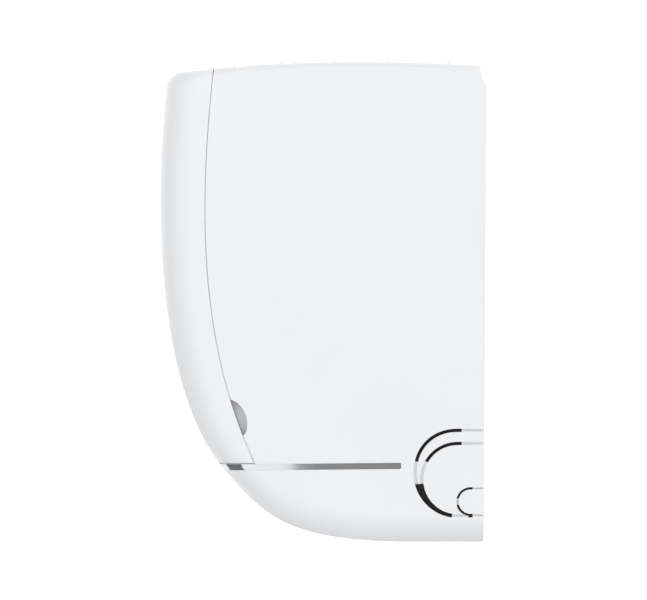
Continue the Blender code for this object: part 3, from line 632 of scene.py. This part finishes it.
def top_windows():
    """The intake's openings: five columns between stout bars, each divided by fine cross bars."""
    columns, pitch, bar, divisions, fine = 5, 156, 7, 6, 2.2
    corners = []
    for ahead, behind in zip(RIB_OUTS, RIB_OUTS[1:]):
        for column in range(columns):
            start = (column - columns / 2) * pitch + bar / 2
            step = (pitch - bar + fine) / divisions
            for division in range(divisions):
                x = start + division * step
                corners.append(((x, behind + 4, 272), (x + step - fine, ahead - 4, 296)))
    return blocks("windows", corners)


def rib_outline(out):
    top = min(bezier(TOP_CURVE, 200), key=lambda point: abs(point[0] - out))[1]
    return circle((out, top - 0.35), RIB_RADIUS, 20)


def frame_line():
    return bezier(FRAME_CURVE, 40)


def filter_frame():
    """The moulded frame behind the panel: filter grid, ends, front beam and outlet cheeks."""
    front = frame_line()
    grid = prism("filter_frame", band(front, FRAME_THICK), -FRAME_HALF, FRAME_HALF)
    windows = []
    for low, high in ((96, 172), (178, 254)):
        for column in range(4):
            x = -342 + column * 154
            half = (147 - 4) / 2
            for start, end in ((x, x + half), (x + half + 4, x + 147)):
                windows.append(((start, 118, low), (end, 190, high)))
    cut(grid, blocks("frame_windows", windows))
    x, up = BUTTON_PLACE
    holes = [((x, 160, up), (x, 180, up), 5.4)]
    holes += [((x, 155, SCREW_UP), (x, 161.8, SCREW_UP), 2.4) for x in SCREW_PLACES]
    holes += [((x, 161.7, SCREW_UP), (x, 172, SCREW_UP), 3.6) for x in SCREW_PLACES]
    cut(grid, rods("frame_holes", holes[:4]), rods("head_recesses", holes[4:]))
    rear_of_parting = [(out - 0.8, up) for out, up in bezier(PARTING_CURVE, PARTING_STEPS)][::-1]
    side = [point for point in front if point[1] < 190]
    side += [point for point in rear_of_parting if point[1] > 194]
    side += [(130, 287), (130, 44)]
    cheek = [(85.5, -2), (85.5, 36), (96, 44), (150, 46), (162, 44), (162, -2)]
    join(grid, both_ends("frame_sides", side, FRAME_HALF - 1, FRAME_HALF + 1.5))
    join(grid, both_ends("frame_flanges", band(rear_of_parting, WALL), FRAME_HALF, END - 1.3))
    join(grid, both_ends("cheeks", cheek, OUTLET_HALF + 0.5, OUTLET_HALF + 3))
    join(grid, block("front_beam", (-FRAME_HALF - 1, 157.5, 268), (FRAME_HALF + 1, 160, 287)))
    lugs = [((x + 2.7, 149.5, 277.5), (x + 5.7, 158.5, 287)) for x in ARM_PLACES]
    join(grid, blocks("lugs", lugs))
    return combine(grid, casing_body("frame_limit", 2), "INTERSECT")


def outer_case():
    case = cut(casing_body("case_shell", 0), casing_body("case_hollow", WALL))
    cut(case, panel_zone("case_front", CASE_EDGE, CASE_SHOULDER), groove_cutter(), outlet_cutter())
    join(case, prisms("ribs", [(rib_outline(out), -RIB_HALF, RIB_HALF) for out in RIB_OUTS]))
    cut(case, top_windows())
    join(case, filter_frame())
    pocket = both_ends("pockets", box_outline((138, 58), (168, 91)), 401.5, 409)
    cut(pocket, panel_zone("pocket_limit", PANEL_EDGE - LIP_CLEAR, CASE_SHOULDER))
    join(case, pocket, parting_lip(), panel_ledge())
    cut(case, both_ends("notches", notch_outline(), 403, 415))
    for depth, outline in knock_out_outlines():
        cut(case, both_ends("knock_out", outline, END - depth, END + 2))
    hole = circle(LOUVRE_AXIS, 6.3, 28)
    cut(case, both_ends("cheek_holes", hole, OUTLET_HALF - 1, OUTLET_HALF + 5))
    arm_slots = [((x - 2.5, 148.6, 274), (x + 2.5, 170, 296)) for x in ARM_PLACES]
    cut(case, blocks("arm_slots", arm_slots))
    cut(case, both_ends("channel_reliefs", box_outline((60, 6.8), (84.5, 10)), 396, 401))
    cut(case, prisms("pin_holes", [(circle(HINGE, 1.8, 20), x + 1, x + 7) for x in ARM_PLACES]))
    return smooth(case)


def front_panel():
    panel = cut(casing_body("panel_skin", 0), casing_body("panel_hollow", WALL))
    combine(panel, panel_zone("panel_limit", PANEL_EDGE, PANEL_BOTTOM), "INTERSECT")
    join(panel, prism("panel_rib", rib_outline(PANEL_RIB_OUT), -RIB_HALF, RIB_HALF), panel_grid())
    return smooth(panel)


def trim_strip():
    strip = full_length("strip", strip_outline(0))
    combine(strip, casing_body("strip_outside", 0), "INTERSECT")
    return crowned(cut(strip, casing_body("strip_inside", STRIP_THICK)))


def crowned(strip):
    """Shades the strip smoothly, and its flat ends as slightly bowed, as plated strips are."""
    bm = bmesh.new()
    bm.from_mesh(strip.data)
    for out in (CROWN_BACK, (CROWN_BACK + CROWN_FRONT) / 2, CROWN_FRONT):
        geometry = bm.verts[:] + bm.edges[:] + bm.faces[:]
        bmesh.ops.bisect_plane(bm, geom=geometry, plane_co=at(0, out, 0), plane_no=(0, 1, 0))
    bm.to_mesh(strip.data)
    bm.free()
    smooth(strip)
    mesh = strip.data
    normals = [Vector(corner.vector) for corner in mesh.corner_normals]
    for index, corner in enumerate(mesh.loops):
        place = mesh.vertices[corner.vertex_index].co
        out = -place.y / MM
        if abs(normals[index].x) > 0.9 and out > CROWN_BACK:
            share = min((out - CROWN_BACK) / (CROWN_FRONT - CROWN_BACK), 1)
            lean = math.radians(CROWN_LEAN * share)
            side = math.copysign(1, normals[index].x)
            leaned = Vector((side * math.cos(lean), -math.sin(lean), 0))
            if normals[index].y > leaned.y:
                normals[index] = leaned
    mesh.normals_split_custom_set([tuple(normal) for normal in normals])
    return strip


def knock_out_shade_sheet():
    """A thin black sheet behind each end wall's knock-outs: painted shade, which makes the slots
    read as dark as a shadowed interior.
    """
    outline = box_outline((4, 12), (50, 76))
    return both_ends("knock_out_shade_sheet", outline, END - WALL - 2.2, END - WALL - 0.2)


# ---------------------------------------------------------------- casing details


def panel_grid():
    """Stiffening ribs on the inside of the front panel."""
    grid = cut(casing_body("grid_outer", WALL - 0.3), casing_body("grid_inner", WALL + 1.6))
    combine(grid, panel_zone("grid_zone", 14, 70), "INTERSECT")
    places = [x for x in range(-350, 351, 50) if abs(x) not in ARM_PLACES]
    bars = [((x - 0.6, 120, 60), (x + 0.6, 200, 262)) for x in places]
    levels = [((-370, 120, up - 0.6), (370, 200, up + 0.6)) for up in (92, 130, 168, 206, 244)]
    frame_bars = blocks("grid_bars", bars)
    return combine(grid, join(frame_bars, blocks("grid_levels", levels)), "INTERSECT")


def parting_lip():
    """The step behind the parting line that the panel's edge closes against."""
    points = bezier(PARTING_CURVE, PARTING_STEPS)
    line = [(out - LIP_WIDTH, up) for out, up in points if up < HINGE[1]]
    lip = both_ends("lip", band(line, LIP_WIDTH + PANEL_EDGE - LIP_CLEAR), END - 4, END)
    return combine(lip, casing_body("lip_limit", LIP_DEPTH), "INTERSECT")


def panel_ledge():
    """The ledge above the trim strip that the panel's lower edge closes against.

    Behind the hinge it is lower, because the panel's edge dips there as it swings.
    """
    foot = along(PARTING_CURVE, PARTING_FOOT).x - 1
    low, high = STRIP_TOP - 1.2, PANEL_BOTTOM - LIP_CLEAR
    outline = [(foot, low), (PAST_FRONT, low), (PAST_FRONT, high)]
    outline += [(HINGE[0] - 3, high), (foot, CASE_SHOULDER)]
    ledge = full_length("ledge", outline)
    combine(ledge, casing_body("ledge_limit", LIP_DEPTH), "INTERSECT")
    return cut(ledge, casing_body("ledge_back", WALL + 0.6))


# ---------------------------------------------------------------- louvre


def louvre():
    """The outlet's flap: a thin skin with rolled edges, ribs behind it and a lug at each end."""
    start, end = LOUVRE_SPAN
    skin = [tuple(along(UNDER_CURVE, start + (end - start) * step / 28)) for step in range(29)]
    flap = prism("louvre", band(skin, -1.7), -LOUVRE_HALF, LOUVRE_HALF)
    rims = [circle(offset(skin, -1.6)[index], 1.45, 18) for index in (1, -2)]
    join(flap, prisms("louvre_edges", [(rim, -LOUVRE_HALF, LOUVRE_HALF) for rim in rims]))
    thick = band(offset(skin, -0.8)[2:-2], -2.2)
    inner = band(offset(skin, -0.8)[7:-7], -3.4)
    places = range(-350, 351, 35)
    join(flap, prisms("louvre_ribs", [(thick, x - 0.7, x + 0.7) for x in places if x % 70]))
    join(flap, prisms("louvre_webs", [(inner, x - 0.9, x + 0.9) for x in places if x % 70 == 0]))
    centre = LOUVRE_AXIS
    lug = [(92, 5.6), (98, 17.5)] + arc(centre, 5.2, 140, 40, 14) + [(110, 17.5), (118, 12)]
    join(flap, both_ends("louvre_lugs", lug, LOUVRE_HALF - 3.3, LOUVRE_HALF - 0.3))
    cut(flap, both_ends("lug_holes", circle(centre, 2.8, 24), LOUVRE_HALF - 5, LOUVRE_HALF + 2))
    return smooth(flap)


# ---------------------------------------------------------------- fan


def blade_outline(index):
    """A blade's curved section, hollow on its leading side and thinner towards both edges."""
    front, rear = [], []
    for step in range(7):
        share = step / 6
        radius = 36.6 + 8.9 * share
        angle = math.radians(360 * index / BLADES + 10 * share**1.6)
        half = (0.35 + 0.55 * math.sin(math.pi * share)) / radius
        front.append((radius * math.cos(angle + half), radius * math.sin(angle + half)))
        rear.append((radius * math.cos(angle - half), radius * math.sin(angle - half)))
    return front + rear[::-1]


def around_fan(outline):
    return [(FAN_CENTRE[0] + out, FAN_CENTRE[1] + up) for out, up in outline]


def crossflow_fan():
    """The cross-flow fan: curved blades between thin ring discs, and solid discs at its ends."""
    left, right = FAN_ENDS
    bm = bmesh.new()
    step = (right - left - DISC_THICK) / FAN_DISCS
    outer, inner = (circle((0, 0), radius, DISC_SIDES) for radius in (FAN_RADIUS, DISC_BORE))
    stations = [left + step * number for number in range(FAN_DISCS + 1)]
    for number, x in enumerate(stations):
        if number in (0, FAN_DISCS):
            add_loft(bm, prism_rings(around_fan(outer), x, x + DISC_THICK))
            continue
        rims = [(around_fan(rim), place) for place in (x, x + DISC_THICK) for rim in (outer, inner)]
        loops = [[bm.verts.new(at(place, *point)) for point in rim] for rim, place in rims]
        near_outer, near_inner, far_outer, far_inner = loops
        sides = ((near_outer, far_outer), (far_inner, near_inner),
                 (near_inner, near_outer), (far_outer, far_inner))
        for index in range(DISC_SIDES):
            following = (index + 1) % DISC_SIDES
            for first, second in sides:
                bm.faces.new((first[index], first[following], second[following], second[index]))
    blades = [around_fan(blade_outline(index)) for index in range(BLADES)]
    for first, second in zip(stations, stations[1:]):
        for blade in blades:
            add_loft(bm, prism_rings(blade, first + 2.2, second + 0.2))
    hubs = (
        (left + 2.2, left + 7, 16, 13),
        (right - 7, right - 2.2, 13, 16),
        (left - 14, left + 1, 4, 4),
        (right - 1, right + 4, 6, 6),
    )
    for x_start, x_end, radius, end_radius in hubs:
        ends = (x_start, *FAN_CENTRE), (x_end, *FAN_CENTRE)
        add_loft(bm, rod_rings(*ends, ((0, radius), (1, end_radius)), 40))
    return smooth(made("crossflow_fan", bm))


# ---------------------------------------------------------------- coil


def fins(slab, ends):
    """One slab of thin fins, which the coil's tubes run through, between two thicker end plates."""
    start, end = (Vector(point) for point in ends)
    direction = (end - start).normalized()
    across = Vector((-direction.y, direction.x)) * COIL_THICK / 2
    corners = (start + across, start - across, end - across, end + across)
    outline = [tuple(point) for point in corners]
    low, high = COIL_ENDS
    count = round((high - low - 3) / FIN_PITCH)
    bm = bmesh.new()
    for number in range(count):
        x = low + 2 + number * FIN_PITCH
        add_loft(bm, prism_rings(outline, x, x + FIN_THICK))
    for x in (low, high - END_PLATE_THICK):
        add_loft(bm, prism_rings(outline, x, x + END_PLATE_THICK))
    return made(f"coil_fins_{slab}", bm)


# ---------------------------------------------------------------- filters


def filter_net(side, ends):
    """A curved frame that carries a woven net, with cross bars and a grip at its foot."""
    line = bezier(FRAME_CURVE, 48)[9:-3]
    face = offset(line, -FILTER_GAP)
    low, high = ends
    spare = offset(face, -0.5)
    border = prism(f"filter_{side}", band(face, -FILTER_THICK), low, high)
    cells = []
    width = (high - low - 7 - (NET_BARS - 1) * NET_BAR_WIDTH) / NET_BARS
    count = len(face) - 1
    thirds = (0, count // 3, 2 * count // 3, count - 1)
    for bar in range(NET_BARS):
        x = low + 3.5 + bar * (width + NET_BAR_WIDTH)
        for first, last in zip(thirds, thirds[1:]):
            cells.append((band(offset(face, 3)[first + 1:last + 1], -9), x, x + width))
    cut(border, prisms("filter_cells", cells))
    middle = (low + high) / 2
    foot = face[0]
    grip = box_outline((foot[0] + 0.5, foot[1] - 6), (foot[0] + 2.3, foot[1] + 3))
    join(border, prism("filter_grip", grip, middle - 20, middle + 20))
    up = foot[1] - 3.4
    places = (middle - 12, middle, middle + 12)
    slots = [((x, foot[0] + 1.5, up), (x, foot[0] + 4, up), 1.1) for x in places]
    cut(border, rods("grip_slots", slots, 16))
    smooth(border)
    bm = bmesh.new()
    middle_line = offset(face, -1.25)
    upright = band(offset(middle_line[1:-1], THREAD), -2 * THREAD)
    for number in range(round((high - low - 5) / NET_PITCH)):
        x = low + 3 + number * NET_PITCH
        add_loft(bm, prism_rings(upright, x - THREAD, x + THREAD))
    lengths = [(Vector(b) - Vector(a)).length for a, b in zip(middle_line, middle_line[1:])]
    travelled, target = 0, 0
    for index, length in enumerate(lengths):
        while target < travelled + length:
            before, after = Vector(middle_line[index]), Vector(middle_line[index + 1])
            place = before.lerp(after, (target - travelled) / length)
            add_loft(bm, prism_rings(circle(place, THREAD, 6), low + 2, high - 2))
            target += NET_PITCH
        travelled += length
    return border, made(f"filter_net_{side}", bm)


# ---------------------------------------------------------------- wall plate


def wall_plate():
    """The pressed plate on the wall: folded edges, hooks, raised beads, punched slots and holes."""
    plate = block("wall_plate", (-300, 0, 72), (300, 1.2, 260))
    edges = [((-298, 0.6, low), (298, 6, low + 1.2)) for low in (258.9, 71.9)]
    edges += [((x - 12, 0.6, 239), (x + 12, 14, 240.5)) for x in HOOK_PLACES]
    join(plate, blocks("plate_edges", edges))
    lips = [((x - 12, 12.5, 239.3), (x + 12, 13.9, 248)) for x in HOOK_PLACES]
    join(plate, blocks("hook_lips", lips))
    beads = [(circle((0.6, up), 2, 16), x, x + 150) for up in (118, 200) for x in (-270, -75, 120)]
    join(plate, prisms("beads", beads))
    holes = [((x, -1, up), (x, 4, up), 3) for x in (-240, -80, 80, 240) for up in (90, 225)]
    holes += [((x, -1, up), (x, 4, up), 2.2) for x in range(-280, 281, 40) for up in (80, 104, 250)]
    holes += [((x, -1, 159), (x, 4, 159), 14) for x in (-210, -70, 70, 210)]
    cut(plate, rods("plate_holes", holes))
    places = [(x, up) for x in range(-200, 201, 80) for up in (134, 182)]
    slots = [((x - 8, -1, up), (x + 8, 4, up + 4)) for x, up in places]
    cut(plate, blocks("plate_slots", slots))
    limit = block("wall_side", (-310, 0, 60), (310, 20, 270))
    return smooth(combine(plate, limit, "INTERSECT"))


# ---------------------------------------------------------------- replaced pieces


piece(outer_case(), "casing", "case_plastic", LOOKS["case_plastic"], "outer_case")
piece(front_panel(), "front_panel", "case_plastic", LOOKS["panel"], "front_panel")
piece(trim_strip(), "casing", "bright_trim", LOOKS["bright_trim"], "trim_strip")
# Painted shade: a black sheet behind the knock-outs, which darkens the slots.
piece(knock_out_shade_sheet(), "casing", "black_rubber", LOOKS["shade_backing"])
piece(louvre(), "louvre", "case_plastic", LOOKS["case_plastic"], "louvre")
piece(crossflow_fan(), "fan", "dark_plastic", LOOKS["dark_plastic"], "crossflow_fan")
for slab, ends in COIL_SLABS.items():
    piece(fins(slab, ends), "casing", "fin_aluminium", LOOKS["fin_aluminium"], f"coil_fins_{slab}")
for side, ends in FILTER_SPANS.items():
    border, net = filter_net(side, ends)
    body = f"filter_{side}"
    piece(border, body, "filter_net", LOOKS["filter_net"], body)
    piece(net, body, "filter_net", LOOKS["net_thread"])
piece(wall_plate(), "casing", "zinc_steel", LOOKS["zinc_steel"], "wall_plate")


# ---------------------------------------------------------------- carried-over nodes


slot_of = {entry["node"]: entry["material_slot"] for entry in frame["record"]["subparts"]}
for name, node in frame["nodes"].items():
    if not node.hide_render:
        node.data.materials.clear()
        node.data.materials.append(LOOKS[slot_of[name]])
        node.data.shade_smooth()
        node.data.set_sharp_from_angle(angle=math.radians(35))


# ---------------------------------------------------------------- stage


def studio():
    """A soft surround of light, in bands as in a light tent, and a pale floor."""
    world = bpy.data.worlds.new("surround")
    bpy.context.scene.world = world
    world.use_nodes = True
    tree = world.node_tree
    background = tree.nodes["Background"]
    place = tree.nodes.new("ShaderNodeTexCoord").outputs["Generated"]
    parts = tree.nodes.new("ShaderNodeSeparateXYZ")
    tree.links.new(place, parts.inputs["Vector"])

    def maths(operation, *values):
        node = tree.nodes.new("ShaderNodeMath")
        node.operation = operation
        for index, value in enumerate(values):
            if hasattr(value, "default_value"):
                tree.links.new(value, node.inputs[index])
            else:
                node.inputs[index].default_value = value
        return node.outputs["Value"]

    def bands(source, stops):
        """Brightness against a value from 0 to 1, through stops of (value, brightness)."""
        node = tree.nodes.new("ShaderNodeValToRGB")
        node.color_ramp.interpolation = "EASE"
        while len(node.color_ramp.elements) < len(stops):
            node.color_ramp.elements.new(0.5)
        for element, (position, value) in zip(node.color_ramp.elements, stops):
            element.position = position
            element.color = (value, value, value, 1)
        tree.links.new(source, node.inputs["Fac"])
        return node.outputs["Color"]

    beside = bands(maths("DIVIDE", maths("ARCCOSINE", parts.outputs["X"]), math.pi), BESIDE_BANDS)
    lean = math.radians(DARK_LEAN)
    upward = maths("MULTIPLY", parts.outputs["Z"], math.sin(lean))
    ahead = bands(maths("MULTIPLY_ADD", parts.outputs["Y"], -math.cos(lean), upward), FRONT_BANDS)
    height = bands(maths("MULTIPLY_ADD", parts.outputs["Z"], 0.5, 0.5), HEIGHT_BANDS)
    light = maths("MULTIPLY", maths("MULTIPLY", beside, ahead), height)
    seen = tree.nodes.new("ShaderNodeLightPath").outputs["Is Camera Ray"]
    backdrop = maths("MULTIPLY", seen, BACKDROP)
    tree.links.new(maths("MAXIMUM", light, backdrop), background.inputs["Color"])
    background.inputs["Strength"].default_value = SURROUND

    bm = bmesh.new()
    bmesh.ops.create_grid(bm, x_segments=1, y_segments=1, size=FLOOR_HALF)
    floor = made("floor", bm)
    floor.location.z = CASE_LOW.z - FLOOR_DROP
    look = Look("floor_look", (FLOOR_TONE,) * 3, 0.7)
    look.tint(look.noise(400, 2), (FLOOR_TONE - 0.01,) * 3, (FLOOR_TONE + 0.01,) * 3)
    floor.data.materials.append(look.material)


def strip_cards():
    """White and grey cards in front of the chin, which only reflections see."""
    for tone, (start, end), height, color, glow in CARDS:
        reach = Vector((0.66, 0.75)) * height / 2
        low, high = (Vector(CARD_AT) - reach, Vector(CARD_AT) + reach)
        bm = bmesh.new()
        for side in (-1, 1):
            corners = ((start, low), (end, low), (end, high), (start, high))
            bm.faces.new([bm.verts.new(at(side * x, *place)) for x, place in corners])
        card = made(f"{tone}_card", bm)
        look = Look(f"{tone}_card_look", color, 0.8)
        dull = tuple(value - 0.01 for value in color)
        look.tint(look.noise(80, 2), dull, color)
        look.shader.inputs["Emission Color"].default_value = (*color, 1)
        look.shader.inputs["Emission Strength"].default_value = glow
        card.data.materials.append(look.material)
        card.visible_camera = False
        card.visible_diffuse = False
        card.visible_shadow = False


def camera():
    """Level with the unit's middle, far off its right-hand end, with a long lens."""
    lens, sensor = 400, 36
    made_camera = bpy.data.objects.new("camera", bpy.data.cameras.new("camera"))
    made_camera.data.lens = lens
    made_camera.data.sensor_width = sensor
    made_camera.data.clip_end = 100
    bpy.context.scene.collection.objects.link(made_camera)
    aim = at(END, FRAME_CENTRE[0], FRAME_CENTRE[1])
    made_camera.location = aim + Vector((FRAME_WIDTH * MM * lens / sensor, 0, 0))
    made_camera.rotation_euler = (math.radians(90), 0, math.radians(90))
    bpy.context.scene.camera = made_camera


FLOOR_HALF = 5
FLOOR_DROP = 0.35
FLOOR_TONE = 0.84
SURROUND = 1.52
BACKDROP = 1.1
BESIDE_BANDS = ((0.01, 0.27), (0.0235, 0.33), (0.03, 0.41), (0.0375, 0.7), (0.044, 1.0))
FRONT_BANDS = ((0.74, 1.0), (0.92, 0.4))
DARK_LEAN = 18
HEIGHT_BANDS = ((0.1, 0.5), (0.45, 1.0), (0.55, 1.0), (0.85, 0.56))
CARD_AT = (365, -141)
CARDS = (
    ("near", (0, 220), 110, (0.95, 0.95, 0.95), 0.6),
    ("grey", (220, 528), 110, (0.28, 0.293, 0.3), 0),
    ("far", (528, 4000), 380, (0.95, 0.95, 0.95), 0.6),
)
FRAME_WIDTH = 388.2
FRAME_CENTRE = (98.1, 145.9)

studio()
strip_cards()
camera()
bpy.context.scene.view_settings.view_transform = "Standard"
